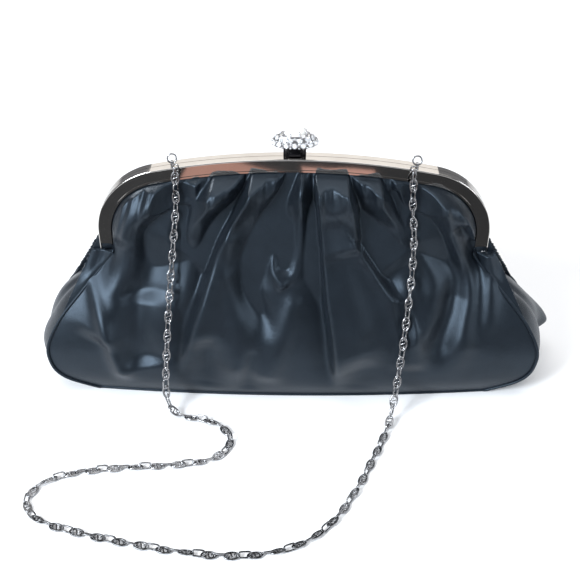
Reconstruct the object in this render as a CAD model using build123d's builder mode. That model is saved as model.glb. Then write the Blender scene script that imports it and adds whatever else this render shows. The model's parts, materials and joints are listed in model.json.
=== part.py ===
from build123d import *
import os
from math import sqrt, tan, radians, pi, cos, sin

os.makedirs("parts", exist_ok=True)

# Evening bag, in millimetres. +X along the frame, -Y is the front, +Z up.
# The origin is under the middle of the body, on the surface the bag stands on.

# Frame: two U-shaped channels, closed face to face on the plane y = 0
frame_half_width = 104.0
frame_top = 137.4
crown_radius = 365.0 / 104.0 * frame_half_width
shoulder_radius = 38.0
frame_depth = 4.25          # depth of one half, front to back
closing_gap = 0.3           # between the closed halves
plate = 0.8                 # metal of the face and of the rim
face_width = 7.0
face_foot = frame_top - 51.4    # the face is cut off square here, the rim runs on to the hinge
inner_width = 5.0           # the hidden flange that closes the channel
inner_plate = 0.6
lip_width = 1.0
lip_height = 0.35
edge_round = 0.6

# Hinge at the foot of each arm
hinge_z = face_foot - 7.0
ear_radius = 4.0
ear_gap = 0.2
strap_top = face_foot + 2.0
rivet_radius = 1.2
rivet_head = 2.1
rivet_head_height = 0.6
running_fit = 0.05
end_play = 0.05

# Body below the frame: its seams swell out from a foot a little wider than the frame
body_depth = 33.0           # half depth where the front and the back stand out most
swell = 30.5                # the seam's half width there, beyond the frame's
foot_swell = 4.0
waist_z = face_foot - 2.0   # the satin passes into the frame here
waist_inset = 4.0
seat = 3.4                  # half depth of the satin where the channel grips it

# Height, seam half width, seam half depth, half depth at the middle, gusset bulge
stations = [
    (0.0, frame_half_width + foot_swell, 0.70 * body_depth, 0.85 * body_depth, 2.5),
    (0.119 * waist_z, frame_half_width + 0.72 * swell, 0.79 * body_depth, 0.97 * body_depth, 4.5),
    (0.30 * waist_z, frame_half_width + swell, 0.79 * body_depth, body_depth, 6.0),
    (0.54 * waist_z, frame_half_width + 0.79 * swell, 0.64 * body_depth, 0.89 * body_depth, 5.0),
    (0.74 * waist_z, frame_half_width + 0.31 * swell, 0.39 * body_depth, 0.71 * body_depth, 3.0),
    (waist_z - 9, frame_half_width - 2.0, 0.20 * body_depth, 0.55 * body_depth, 1.0),
    (waist_z, frame_half_width - waist_inset, seat + 0.4, 0.42 * body_depth, 0.5),
    (frame_top - 37.4, frame_half_width - 3.0, seat, 0.29 * body_depth, 0.5),
    (frame_top - 25.4, frame_half_width - 6.0, seat, 0.21 * body_depth, 0.5),
    (frame_top - 15.4, frame_half_width - 16.0, seat, 0.15 * body_depth, 0.5),
    (frame_top - 9.4, frame_half_width - 36.0, seat, seat + 0.3, 0.5),
    (frame_top - 5.4, frame_half_width - 64.0, seat, seat + 0.1, 0.5),
]
panel_top = stations[-1][0]
satin = 1.6                 # gathered satin with its interlining
padding = 1.0
lining = 0.5
layer_gap = 0.1
satin_inset = 3.0           # how far inside the frame's outline the satin stops
lining_inset = 6.0
padding_top = waist_z - 9
gusset_top = waist_z - 9
lower_back_top = waist_z - 18   # the fixed part of the back ends here
upper_back_foot = waist_z       # the part that swings with the back half starts here
fold_gap = 0.4
seam_gap = 0.2
lining_top = frame_top - 9.4
layer_half = 0.5            # inner layers keep this far from the closing plane

base_satin = 1.2
base_card = 1.8
pocket_half_width = 45.0
pocket_low = 14.0
pocket_high = 0.67 * waist_z
pocket_cloth = 0.4
piping_radius = 0.9
piping_offset = 1.4         # from the seam to the middle of the piping

# Clasp on the back half, over the middle of the frame
clasp_y = closing_gap / 2 + frame_depth / 2     # pivot line, over the back half
clasp_pivot_z = frame_top + 3.0
clasp_pin_radius = 0.6
clasp_half_width = 5.8
ear = 1.2
ear_clearance = 0.1
ear_over_pin = 1.9
bracket_base = 0.8
lever_depth = 3.6
lever_foot = clasp_pivot_z - 1.5
lever_top = clasp_pivot_z + 2.2
finger_half_width = 3.0
finger_reach = 3.2
finger_foot = lever_foot - 0.5
finger_thickness = 1.0
strike_thickness = 0.5
spring_half = 3.2
spring_leaf = 0.2
spring_width = 1.5
dome_y = 0.6
dome_length = 23.4
dome_depth = 13.2
dome_foot = lever_top + 0.6
dome_waist = dome_foot + 2.4
dome_top = dome_waist + 3.8
crown_length = 12.4
crown_depth = 8.4
crown_height = 4.6
stone_radius = 1.2

# Chain hardware
lug_x = 0.6 * frame_half_width
lug_y = -(closing_gap + frame_depth) / 2
lug_thickness = 1.2
lug_width = 3.0
lug_hole = 0.95
lug_rim = 0.5
lug_hole_z = frame_top - crown_radius + sqrt(crown_radius ** 2 - lug_x ** 2) + lug_hole + 1.0
ring_radius = 2.3
ring_wire = 0.45
ring_lean = 20.0
bail_radius = 1.7
bail_wire = 0.4
barrel_radius = 1.1
chain_diameter = 4.6
chain_x = lug_x - 2.0
chain_start_y = lug_y - 5.8
bail_z = lug_hole_z + 0.3
chain_start_z = bail_z - 1.8
table_z = chain_diameter / 2 + 0.3
body_z = waist_z / 84
body_y = body_depth / 33

# Route of the chain: down the front, in a loop over the table, up the front again
left_drop = [
    (-chain_x, chain_start_y, chain_start_z),
    (-chain_x, chain_start_y, chain_start_z - 15.4),
    (-chain_x - 2.0, chain_start_y - 2.9, 1.179 * waist_z),
    (-chain_x - 4.0, chain_start_y - 7.4 * body_y, 0.964 * waist_z),
    (-chain_x - 5.5, -24.5 * body_y, 0.75 * waist_z),
    (-chain_x - 7.0, -33.0 * body_y, 0.524 * waist_z),
    (-chain_x - 8.5, -38.5 * body_y, 0.286 * waist_z),
    (-chain_x - 9.0, -42.5 * body_y, 9.0),
]
table_loop = [
    (-64.0, -47.5),
    (-49.0, -49.5),
    (-37.0, -55.5),
    (-31.5, -66.5),
    (-36.5, -78.0),
    (-51.0, -83.5),
    (-80.0, -86.0),
    (-108.0, -89.0),
    (-127.0, -96.0),
    (-134.5, -109.0),
    (-127.0, -122.0),
    (-108.0, -129.0),
    (-80.0, -136.0),
    (-52.0, -141.5),
    (-24.0, -144.0),
    (1.0, -139.0),
    (19.0, -125.0),
    (32.5, -102.0),
    (44.5, -75.0),
    (52.5, -54.0),
]
right_drop = [
    (chain_x - 5.0, -44.5 * body_y, 10.0),
    (chain_x - 3.0, -39.5 * body_y, 0.31 * waist_z),
    (chain_x - 1.0, -33.0 * body_y, 0.524 * waist_z),
    (chain_x + 1.0, -24.5 * body_y, 0.738 * waist_z),
    (chain_x + 2.5, chain_start_y - 8.4 * body_y, 0.94 * waist_z),
    (chain_x + 2.5, chain_start_y - 2.9, 1.179 * waist_z),
    (chain_x, chain_start_y, chain_start_z - 15.4),
    (chain_x, chain_start_y, chain_start_z),
]
loop_wide = chain_x / 60.5
loop_shift = 33.0 - body_depth
laid = [(x * loop_wide, y + 1.35 * loop_shift, table_z) for x, y in table_loop]
route = left_drop + laid + right_drop


def outline_half_width(z, inset):
    """Half width of the frame's outline at height z, moved in by inset."""
    crown_z = frame_top - crown_radius
    over_crown = sqrt(max((crown_radius - inset) ** 2 - (z - crown_z) ** 2, 0.0))
    # The shoulder arc touches the side and the crown arc from inside
    shoulder_x = frame_half_width - shoulder_radius
    shoulder_z = crown_z + sqrt((crown_radius - shoulder_radius) ** 2 - shoulder_x ** 2)
    if z < shoulder_z:
        return frame_half_width - inset
    reach = (shoulder_radius - inset) ** 2 - (z - shoulder_z) ** 2
    over_shoulder = shoulder_x + sqrt(max(reach, 0.0))
    meet = shoulder_x * crown_radius / (crown_radius - shoulder_radius)
    return over_crown if over_crown < meet else over_shoulder


def arch(inset, foot):
    """Area inside the frame's outline, moved in by inset and cut off level at foot."""
    half = frame_half_width - inset
    crown = crown_radius - inset
    corner_z = frame_top - crown_radius + sqrt(crown ** 2 - half ** 2)
    with BuildSketch(Plane.XZ) as area:
        with BuildLine():
            Polyline((-half, corner_z), (-half, foot), (half, foot), (half, corner_z))
            ThreePointArc((half, corner_z), (0, frame_top - inset), (-half, corner_z))
        make_face()
        fillet(area.vertices().group_by(Axis.Y)[-1], shoulder_radius - inset)
    return area.sketch


def band(outer_inset, inner_inset, foot):
    """Ring between two insets of the outline, open at its foot."""
    return arch(outer_inset, foot) - arch(inner_inset, foot - 5)


def front_band(area, start, depth):
    """Extrude an area of the XZ plane forward, from y = -start."""
    return extrude(Pos(0, -start, 0) * area, amount=depth, dir=(0, -1, 0))


closing = closing_gap / 2
front_face = closing + frame_depth

# One channel: rim, face plate, hidden flange and the raised lip on the face's inner edge
with BuildPart() as channel:
    add(front_band(band(0, plate, hinge_z), closing, frame_depth))
    add(front_band(band(0, face_width, face_foot), front_face - plate, plate))
    core = arch(plate / 2, 0).faces()[0]
    front_edges = channel.faces().sort_by(Axis.Y)[0].edges()
    outer_edges = [e for e in front_edges if not core.is_inside(Vector((e @ 0.5).X, 0, (e @ 0.5).Z))]
    fillet([e for e in outer_edges if (e @ 0.5).Z > face_foot + 1], edge_round)
    add(front_band(band(plate / 2, inner_width, face_foot), closing, inner_plate))
    add(front_band(band(face_width - lip_width, face_width, face_foot), front_face, lip_height))

outer_x = frame_half_width
ear_inner_x = outer_x - plate
back_ear_outer_x = ear_inner_x - ear_gap
back_ear_inner_x = back_ear_outer_x - plate

with BuildPart() as front_frame:
    add(channel.part)
    for side in (-1, 1):
        ear_plane = Plane(origin=(side * ear_inner_x, 0, hinge_z), x_dir=(0, 1, 0), z_dir=(side, 0, 0))
        with BuildSketch(ear_plane):
            Circle(ear_radius)
        extrude(amount=plate)
        with BuildSketch(ear_plane):
            Circle(rivet_radius)
        extrude(amount=plate, mode=Mode.SUBTRACT)
front_frame.part.label = "front_frame"
export_step(front_frame.part, "parts/front_frame.step")

# The back arms step inward at their feet, so that their ears lie inside the front ears
with BuildPart() as back_frame:
    add(mirror(channel.part, about=Plane.XZ))
    with BuildSketch(Plane.XZ.offset(-closing - frame_depth)):
        for side in (-1, 1):
            with Locations((side * (outer_x - plate / 2), hinge_z)):
                Rectangle(plate + 1, 2 * (ear_radius + 1))
    extrude(amount=frame_depth + closing, mode=Mode.SUBTRACT)
    for side in (-1, 1):
        strap_plane = Plane(origin=(side * back_ear_inner_x, 0, 0), x_dir=(0, 1, 0), z_dir=(side, 0, 0))
        strap_up = 1 if strap_plane.y_dir.Z > 0 else -1
        with BuildSketch(strap_plane):
            with Locations((closing + frame_depth / 2, strap_up * (hinge_z + strap_top) / 2)):
                Rectangle(frame_depth, strap_top - hinge_z)
            with Locations((0, strap_up * hinge_z)):
                Circle(ear_radius)
        extrude(amount=plate)
        with BuildSketch(strap_plane):
            with Locations((closing + frame_depth / 2, strap_up * (strap_top - 1))):
                Rectangle(frame_depth, 2)
        extrude(amount=plate + ear_gap)
        with BuildSketch(strap_plane):
            with Locations((0, strap_up * hinge_z)):
                Circle(rivet_radius + running_fit)
        extrude(amount=plate, mode=Mode.SUBTRACT)
back_frame.part.label = "back_frame"
export_step(back_frame.part, "parts/back_frame.step")

# Hinge rivets, tight in the front ears and turning in the back ones
for side, name in ((-1, "hinge_rivet_left"), (1, "hinge_rivet_right")):
    with BuildPart() as rivet:
        with BuildSketch(Plane(origin=(side * outer_x, 0, hinge_z), z_dir=(side, 0, 0))):
            Circle(rivet_head)
        extrude(amount=rivet_head_height)
        fillet(rivet.edges().group_by(Axis.X)[-1 if side > 0 else 0], rivet_head_height * 0.6)
        with BuildSketch(Plane(origin=(side * outer_x, 0, hinge_z), z_dir=(-side, 0, 0))):
            Circle(rivet_radius)
        extrude(amount=outer_x - back_ear_inner_x + end_play)
        tail_x = back_ear_inner_x - end_play
        with BuildSketch(Plane(origin=(side * tail_x, 0, hinge_z), z_dir=(-side, 0, 0))):
            Circle(rivet_head)
        extrude(amount=rivet_head_height)
    rivet.part.label = name
    export_step(rivet.part, "parts/" + name + ".step")

# Twisted cord packed into each channel, outside the satin's edge
cord_depth = frame_depth - plate - inner_plate - 2 * layer_gap
with BuildPart() as front_channel_cord:
    packed = band(plate + layer_gap, satin_inset - layer_gap, strap_top)
    add(front_band(packed, closing + inner_plate + layer_gap, cord_depth))
front_channel_cord.part.label = "front_channel_cord"
export_step(front_channel_cord.part, "parts/front_channel_cord.step")

with BuildPart() as back_channel_cord:
    add(mirror(front_channel_cord.part, about=Plane.XZ))
back_channel_cord.part.label = "back_channel_cord"
export_step(back_channel_cord.part, "parts/back_channel_cord.step")


def runs(low, high):
    """The runs of stations that the stretch from low to high lies on: below and above the waist."""
    below = [s for s in stations if s[0] <= waist_z]
    above = [s for s in stations if waist_z <= s[0] <= high]
    return [run for run in (below, above) if len(run) > 1 and low < run[-1][0] and high > run[0][0]]


def layer_size(station, inset, thickness, frame_inset):
    """Seam half width and half depths of one layer of the wall at a station."""
    z, width, seam, middle, bulge = station
    half = width - inset
    if z > waist_z:
        half = min(half, outline_half_width(z, frame_inset))
    edge = max(seam - inset, thickness + layer_half)
    return half, edge, max(middle - inset, edge + 0.05), bulge


def slab(low, high, used):
    """Keep the current part between two heights, clear of ends that are already there."""
    foot = low if low > used[0][0][0] else low - 1
    top = high if high < used[-1][-1][0] else high + 1
    with BuildSketch(Plane.XY.offset(foot)) as area:
        Rectangle(4 * frame_half_width, 2 * frame_half_width)
    extrude(area.sketch, amount=top - foot, mode=Mode.INTERSECT)


def wall(low, high, inset, thickness, frame_inset, side=-1):
    """Front (side -1) or back (side 1) wall of one layer, curved out in plan."""
    with BuildPart() as sheet:
        for run in runs(low, high):
            for station in run:
                half, edge, middle, bulge = layer_size(station, inset, thickness, frame_inset)
                inner = half - thickness
                with BuildSketch(Plane.XY.offset(station[0])):
                    with BuildLine():
                        ThreePointArc((-half, side * edge), (0, side * middle), (half, side * edge))
                        Line((half, side * edge), (inner, side * (edge - thickness)))
                        ThreePointArc((inner, side * (edge - thickness)), (0, side * (middle - thickness)),
                                      (-inner, side * (edge - thickness)))
                        Line((-inner, side * (edge - thickness)), (-half, side * edge))
                    make_face()
            loft()
        slab(low, high, runs(low, high))
    return sheet.part


def gusset(side, low, high, inset, thickness):
    """Side wall between the front and the back seam."""
    with BuildPart() as sheet:
        for station in runs(low, high)[0]:
            half, edge, middle, bulge = layer_size(station, inset, thickness, satin_inset)
            edge -= seam_gap
            inner = half - thickness
            with BuildSketch(Plane.XY.offset(station[0])):
                with BuildLine():
                    ThreePointArc((side * half, -edge), (side * (half + bulge), 0), (side * half, edge))
                    Line((side * half, edge), (side * inner, edge - thickness))
                    ThreePointArc((side * inner, edge - thickness), (side * (half + bulge - thickness), 0),
                                  (side * inner, thickness - edge))
                    Line((side * inner, thickness - edge), (side * half, -edge))
                make_face()
        loft()
        slab(low, high, runs(low, high))
    return sheet.part


def plan(station, inset):
    """Whole outline of the bag at a station, moved in by inset."""
    half, edge, middle, bulge = layer_size(station, inset, lining, satin_inset)
    with BuildSketch(Plane.XY.offset(station[0])) as area:
        with BuildLine():
            ThreePointArc((-half, -edge), (0, -middle), (half, -edge))
            ThreePointArc((half, -edge), (half + bulge, 0), (half, edge))
            ThreePointArc((half, edge), (0, middle), (-half, edge))
            ThreePointArc((-half, edge), (-half - bulge, 0), (-half, -edge))
        make_face()
    return area.sketch


def pouch_space(low, high, inset):
    """Everything inside the bag between two heights, moved in by inset."""
    with BuildPart() as space:
        for station in runs(low, high)[0]:
            add(plan(station, inset))
        loft()
        slab(low, high, runs(low, high))
    return space.part


with BuildPart() as front_panel:
    add(wall(0, panel_top, 0, satin, satin_inset))
    add(front_frame.part, mode=Mode.SUBTRACT)
    add(front_channel_cord.part, mode=Mode.SUBTRACT)
front_panel.part.label = "front_panel"
export_step(front_panel.part, "parts/front_panel.step")

with BuildPart() as back_panel_lower:
    add(wall(0, lower_back_top, 0, satin, satin_inset, 1))
back_panel_lower.part.label = "back_panel_lower"
export_step(back_panel_lower.part, "parts/back_panel_lower.step")

with BuildPart() as back_panel_upper:
    add(wall(upper_back_foot, panel_top, 0, satin, satin_inset, 1))
    add(back_frame.part, mode=Mode.SUBTRACT)
    add(back_channel_cord.part, mode=Mode.SUBTRACT)
back_panel_upper.part.label = "back_panel_upper"
export_step(back_panel_upper.part, "parts/back_panel_upper.step")

# The back folds inward along this strip when the bag opens
with BuildPart() as back_fold:
    add(wall(lower_back_top + fold_gap, upper_back_foot - fold_gap, 0, satin, satin_inset, 1))
back_fold.part.label = "back_fold"
export_step(back_fold.part, "parts/back_fold.step")

side_walls = [gusset(side, 0, gusset_top, 0, satin) for side in (-1, 1)]
for side_wall, name in zip(side_walls, ("gusset_left", "gusset_right")):
    side_wall.label = name
    export_step(side_wall, "parts/" + name + ".step")

# Padding behind the satin, stopping short of the frame
padding_inset = satin + layer_gap
with BuildPart() as front_padding:
    add(wall(base_satin + base_card + layer_gap, padding_top, padding_inset, padding, lining_inset))
front_padding.part.label = "front_padding"
export_step(front_padding.part, "parts/front_padding.step")

with BuildPart() as back_padding:
    add(wall(base_satin + base_card + layer_gap, lower_back_top, padding_inset, padding, lining_inset, 1))
back_padding.part.label = "back_padding"
export_step(back_padding.part, "parts/back_padding.step")

# Bottom: satin, stiff card, then the lining's own floor
wall_inset = satin + layer_gap
with BuildPart() as base_panel:
    add(plan(stations[0], wall_inset))
    extrude(amount=base_satin)
    add(side_walls, mode=Mode.SUBTRACT)
base_panel.part.label = "base_panel"
export_step(base_panel.part, "parts/base_panel.step")

with BuildPart() as base_board:
    with BuildSketch(Plane.XY.offset(base_satin)):
        add(plan(stations[0], wall_inset + 1))
    extrude(amount=base_card)
    add(side_walls, mode=Mode.SUBTRACT)
base_board.part.label = "base_board"
export_step(base_board.part, "parts/base_board.step")

# Lining: a sewn pouch, with its upper parts fixed into the two frame halves
lining_depth = padding_inset + padding + layer_gap
pouch_floor = base_satin + base_card + layer_gap
with BuildPart() as lining_pouch:
    add(pouch_space(pouch_floor, lower_back_top, lining_depth))
    add(pouch_space(pouch_floor + lining, lower_back_top + 1, lining_depth + lining), mode=Mode.SUBTRACT)
    add(side_walls, mode=Mode.SUBTRACT)
lining_pouch.part.label = "lining_pouch"
export_step(lining_pouch.part, "parts/lining_pouch.step")

with BuildPart() as lining_front_upper:
    add(wall(lower_back_top + fold_gap, lining_top, lining_depth, lining, lining_inset))
lining_front_upper.part.label = "lining_front_upper"
export_step(lining_front_upper.part, "parts/lining_front_upper.step")

with BuildPart() as lining_back_upper:
    add(wall(upper_back_foot, lining_top, lining_depth, lining, lining_inset, 1))
lining_back_upper.part.label = "lining_back_upper"
export_step(lining_back_upper.part, "parts/lining_back_upper.step")

with BuildPart() as slip_pocket:
    add(wall(pocket_low, pocket_high, lining_depth + lining + layer_gap, pocket_cloth, lining_inset))
    with BuildSketch(Plane.XY):
        Rectangle(2 * pocket_half_width, 4 * body_depth)
    extrude(amount=frame_top, mode=Mode.INTERSECT)
slip_pocket.part.label = "slip_pocket"
export_step(slip_pocket.part, "parts/slip_pocket.step")

# Covered cord sewn into the front and the back seam
for side, name in ((-1, "front_piping"), (1, "back_piping")):
    top = gusset_top if side < 0 else lower_back_top
    seam = [s for s in stations if 0 < s[0] <= top]
    arm = [(s[1] + piping_offset, side * (s[2] + piping_offset), s[0]) for s in seam]
    foot = stations[0]
    middle = side * (foot[3] + piping_offset)
    corner = side * (foot[2] + piping_offset)
    low = (foot[1] + piping_offset, corner, piping_radius)
    quarter = (foot[1] / 2, corner + 0.75 * (middle - corner), piping_radius)
    right = [quarter, low] + arm
    left = [(-x, y, z) for x, y, z in reversed(right)]
    with BuildPart() as piping:
        with BuildLine() as path:
            FilletPolyline(*left, (0, middle, piping_radius), *right, radius=5)
        with BuildSketch(Plane(origin=path.line @ 0, z_dir=path.line % 0)):
            Circle(piping_radius)
        sweep()
    piping.part.label = name
    export_step(piping.part, "parts/" + name + ".step")

# Clasp: a bracket on the back half, a sprung lever and the jewelled knob on it
with BuildPart() as arch_block:
    add(front_band(arch(0, 0), -20, 40))

ear_top = clasp_pivot_z + ear_over_pin
with BuildPart() as clasp_bracket:
    with BuildSketch(Plane.YZ.offset(-clasp_half_width)):
        with Locations((clasp_y, frame_top - bracket_base)):
            Rectangle(lever_depth, 2 * bracket_base, align=(Align.CENTER, Align.MIN))
    extrude(amount=2 * clasp_half_width)
    for side in (-1, 1):
        with BuildSketch(Plane.YZ.offset(side * (clasp_half_width - ear / 2) - ear / 2)):
            with Locations((clasp_y, frame_top)):
                Rectangle(lever_depth, ear_top - frame_top, align=(Align.CENTER, Align.MIN))
            with Locations((clasp_y, clasp_pivot_z)):
                Circle(clasp_pin_radius, mode=Mode.SUBTRACT)
        extrude(amount=ear)
    add(arch_block.part, mode=Mode.SUBTRACT)
clasp_bracket.part.label = "clasp_bracket"
export_step(clasp_bracket.part, "parts/clasp_bracket.step")

with BuildPart() as clasp_pin:
    with BuildSketch(Plane.YZ.offset(-clasp_half_width)):
        with Locations((clasp_y, clasp_pivot_z)):
            Circle(clasp_pin_radius)
    extrude(amount=2 * clasp_half_width)
clasp_pin.part.label = "clasp_pin"
export_step(clasp_pin.part, "parts/clasp_pin.step")

lever_half = clasp_half_width - ear - ear_clearance
with BuildPart() as clasp_lever:
    with BuildSketch(Plane.YZ.offset(-lever_half)):
        with Locations((clasp_y, lever_foot)):
            Rectangle(lever_depth, lever_top - lever_foot, align=(Align.CENTER, Align.MIN))
    extrude(amount=2 * lever_half)
    with BuildSketch(Plane.YZ.offset(-finger_half_width)):
        with Locations((clasp_y - lever_depth / 2 + 0.5, finger_foot)):
            Rectangle(finger_reach + 0.5, finger_thickness, align=(Align.MAX, Align.MIN))
    extrude(amount=2 * finger_half_width)
    with BuildSketch(Plane.YZ.offset(-clasp_half_width)):
        with Locations((clasp_y, clasp_pivot_z)):
            Circle(clasp_pin_radius + running_fit)
    extrude(amount=2 * clasp_half_width, mode=Mode.SUBTRACT)
clasp_lever.part.label = "clasp_lever"
export_step(clasp_lever.part, "parts/clasp_lever.step")

spring_foot = frame_top + bracket_base
spring_crest = lever_foot - 0.02
spring_hollow = spring_half - 0.3
with BuildPart() as clasp_spring:
    with BuildSketch(Plane.XZ.offset(-clasp_y - spring_width / 2)):
        with BuildLine():
            Polyline(
                (-spring_half, spring_foot + spring_leaf),
                (-spring_half, spring_foot),
                (spring_half, spring_foot),
                (spring_half, spring_foot + spring_leaf),
            )
            ThreePointArc(
                (spring_half, spring_foot + spring_leaf),
                (0, spring_crest),
                (-spring_half, spring_foot + spring_leaf),
            )
        make_face()
        with BuildLine():
            Line((-spring_hollow, spring_foot), (spring_hollow, spring_foot))
            ThreePointArc(
                (spring_hollow, spring_foot),
                (0, spring_crest - spring_leaf),
                (-spring_hollow, spring_foot),
            )
        make_face(mode=Mode.SUBTRACT)
    extrude(amount=spring_width)
clasp_spring.part.label = "clasp_spring"
export_step(clasp_spring.part, "parts/clasp_spring.step")

with BuildPart() as strike_plate:
    with BuildSketch(Plane.XY.offset(frame_top - strike_thickness)):
        with Locations((0, -(closing + frame_depth / 2))):
            RectangleRounded(2 * finger_half_width + 0.8, frame_depth - 2 * edge_round, edge_round)
    extrude(amount=2 * strike_thickness)
    add(arch_block.part, mode=Mode.SUBTRACT)
strike_plate.part.label = "strike_plate"
export_step(strike_plate.part, "parts/strike_plate.step")


def oval(z, length, depth):
    """Oval of the knob at height z."""
    with BuildSketch(Plane.XY.offset(z)) as area:
        with Locations((0, dome_y)):
            Ellipse(length / 2, depth / 2)
    return area.sketch


def stone_row(count, z, length, depth, phase):
    """Round stones in a row around the knob."""
    places = []
    for i in range(count):
        turn = 2 * pi * (i + phase) / count
        places.append((length / 2 * cos(turn), dome_y + depth / 2 * sin(turn), z))
    return places


stone_places = (
    stone_row(16, dome_waist - 0.3, dome_length - 0.7, dome_depth - 0.7, 0)
    + stone_row(12, dome_waist + 1.9, dome_length - 4.2, dome_depth - 3.4, 0.5)
)
with BuildPart() as clasp_stones:
    with Locations(*stone_places):
        Sphere(stone_radius)
clasp_stones.part.label = "clasp_stones"
export_step(clasp_stones.part, "parts/clasp_stones.step")

with BuildPart() as clasp_dome:
    add(oval(dome_foot, dome_length - 1.6, dome_depth - 1.6))
    add(oval(dome_waist, dome_length - 1.4, dome_depth - 1.4))
    add(oval(dome_top, crown_length + 1.6, crown_depth + 1.6))
    loft()
    with BuildSketch(Plane.XY.offset(lever_top)):
        with Locations((0, clasp_y)):
            Rectangle(2 * lever_half, lever_depth)
    extrude(amount=dome_foot - lever_top)
clasp_dome.part.label = "clasp_dome"
export_step(clasp_dome.part, "parts/clasp_dome.step")

with BuildPart() as crown_setting:
    with BuildSketch(Plane.XY.offset(dome_top)):
        with Locations((0, dome_y)):
            Ellipse(crown_length / 2 + 0.7, crown_depth / 2 + 0.7)
            Ellipse(crown_length / 2 - 0.1, crown_depth / 2 - 0.1, mode=Mode.SUBTRACT)
    extrude(amount=0.9)
crown_setting.part.label = "crown_setting"
export_step(crown_setting.part, "parts/crown_setting.step")

with BuildPart() as crown_crystal:
    add(oval(dome_top, crown_length - 0.4, crown_depth - 0.4))
    add(oval(dome_top + crown_height * 0.45, crown_length - 0.6, crown_depth - 0.6))
    add(oval(dome_top + crown_height, crown_length * 0.55, crown_depth * 0.55))
    loft(ruled=True)
crown_crystal.part.label = "crown_crystal"
export_step(crown_crystal.part, "parts/crown_crystal.step")

# Chain hardware on top of the front half
for side, word in ((-1, "left"), (1, "right")):
    with BuildPart() as lug:
        with BuildSketch(Plane.YZ.offset(side * lug_x - lug_thickness / 2)):
            with Locations((lug_y, lug_hole_z)):
                Circle(lug_hole + lug_rim)
            with Locations((lug_y, lug_hole_z)):
                Rectangle(2 * (lug_hole + lug_rim), 6, align=(Align.CENTER, Align.MAX))
            with Locations((lug_y, lug_hole_z)):
                Circle(lug_hole, mode=Mode.SUBTRACT)
        extrude(amount=lug_thickness)
        add(arch_block.part, mode=Mode.SUBTRACT)
    lug.part.label = "chain_lug_" + word
    export_step(lug.part, "parts/chain_lug_" + word + ".step")

    lean = radians(ring_lean)
    centre = (side * lug_x, lug_y + ring_radius * sin(lean), lug_hole_z + ring_radius * cos(lean))
    with BuildPart() as ring:
        with Locations(Plane(origin=centre, x_dir=(1, 0, 0), z_dir=(0, -cos(lean), sin(lean)))):
            Torus(ring_radius, ring_wire)
    ring.part.label = "jump_ring_" + word
    export_step(ring.part, "parts/jump_ring_" + word + ".step")

    with BuildPart() as bail:
        with Locations((side * chain_x, chain_start_y + bail_radius, bail_z)):
            Torus(bail_radius, bail_wire)
        with BuildSketch(Plane.XY.offset(chain_start_z)):
            with Locations((side * chain_x, chain_start_y)):
                Circle(barrel_radius)
        extrude(amount=bail_z - chain_start_z)
    bail.part.label = "end_bail_" + word
    export_step(bail.part, "parts/end_bail_" + word + ".step")


def corner_radii(points):
    """Largest arcs that the runs leave room for, one for each corner."""
    radii = []
    for a, b, c in zip(points, points[1:], points[2:]):
        first, second = Vector(b) - Vector(a), Vector(c) - Vector(b)
        turn = radians(first.get_angle(second))
        radii.append(0.45 * min(first.length, second.length) / tan(turn / 2))
    return radii


radii = corner_radii(route)
print("chain bend radii:", [round(r, 1) for r in radii])
with BuildPart() as chain:
    with BuildLine() as chain_path:
        FilletPolyline(*route, radius=radii)
    with BuildSketch(Plane(origin=chain_path.line @ 0, z_dir=chain_path.line % 0)):
        Circle(chain_diameter / 2)
    sweep()
section = pi * chain_diameter ** 2 / 4
length = sum(edge.length for edge in chain_path.edges())
print("chain length", round(length, 1), "volume ratio", round(chain.part.volume / (section * length), 4))
chain.part.label = "chain"
export_step(chain.part, "parts/chain.step")
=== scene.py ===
"""Evening bag: gathered satin on a black-nickel frame, a jewelled clasp and a scroll-link chain.

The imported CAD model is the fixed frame. Everything soft, the stones and the chain's links are
built here around it, in metres, in the same frame (+X along the frame, -Y front, +Z up).
"""
import json
import math
import random

import bmesh
import bpy
import numpy as np
from mathutils import Matrix, Vector

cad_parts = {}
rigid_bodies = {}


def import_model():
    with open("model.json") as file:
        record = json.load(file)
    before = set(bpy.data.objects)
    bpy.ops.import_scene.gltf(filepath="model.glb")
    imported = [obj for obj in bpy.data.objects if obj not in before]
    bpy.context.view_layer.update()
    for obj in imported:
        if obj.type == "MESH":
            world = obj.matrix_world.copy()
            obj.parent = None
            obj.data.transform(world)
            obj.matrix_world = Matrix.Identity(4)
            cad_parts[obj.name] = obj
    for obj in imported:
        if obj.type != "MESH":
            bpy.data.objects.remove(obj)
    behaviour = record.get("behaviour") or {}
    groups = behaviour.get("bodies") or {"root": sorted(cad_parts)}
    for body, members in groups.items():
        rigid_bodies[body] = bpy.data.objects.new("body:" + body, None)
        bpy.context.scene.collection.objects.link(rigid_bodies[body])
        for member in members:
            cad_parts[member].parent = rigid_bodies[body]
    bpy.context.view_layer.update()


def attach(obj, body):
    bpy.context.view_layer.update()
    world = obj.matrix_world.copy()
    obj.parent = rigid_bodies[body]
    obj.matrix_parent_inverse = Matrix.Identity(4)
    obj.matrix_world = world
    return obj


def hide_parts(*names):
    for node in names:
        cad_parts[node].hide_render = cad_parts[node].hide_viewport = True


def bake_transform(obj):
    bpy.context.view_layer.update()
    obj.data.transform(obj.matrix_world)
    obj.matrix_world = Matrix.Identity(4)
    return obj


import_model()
MM = 0.001
rng = random.Random(7)

# ---------------------------------------------------------------- shape of the bag (mm)
FRAME_HALF, FRAME_TOP, CROWN_R, SHOULDER_R = 104.0, 137.4, 365.0, 38.0
CROWN_Z = FRAME_TOP - CROWN_R
SHOULDER_X = FRAME_HALF - SHOULDER_R
SHOULDER_Z = CROWN_Z + math.sqrt((CROWN_R - SHOULDER_R) ** 2 - SHOULDER_X ** 2)
FACE_FOOT, FACE_WIDTH, TOP_INSET = 86.0, 7.0, 5.2
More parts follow.
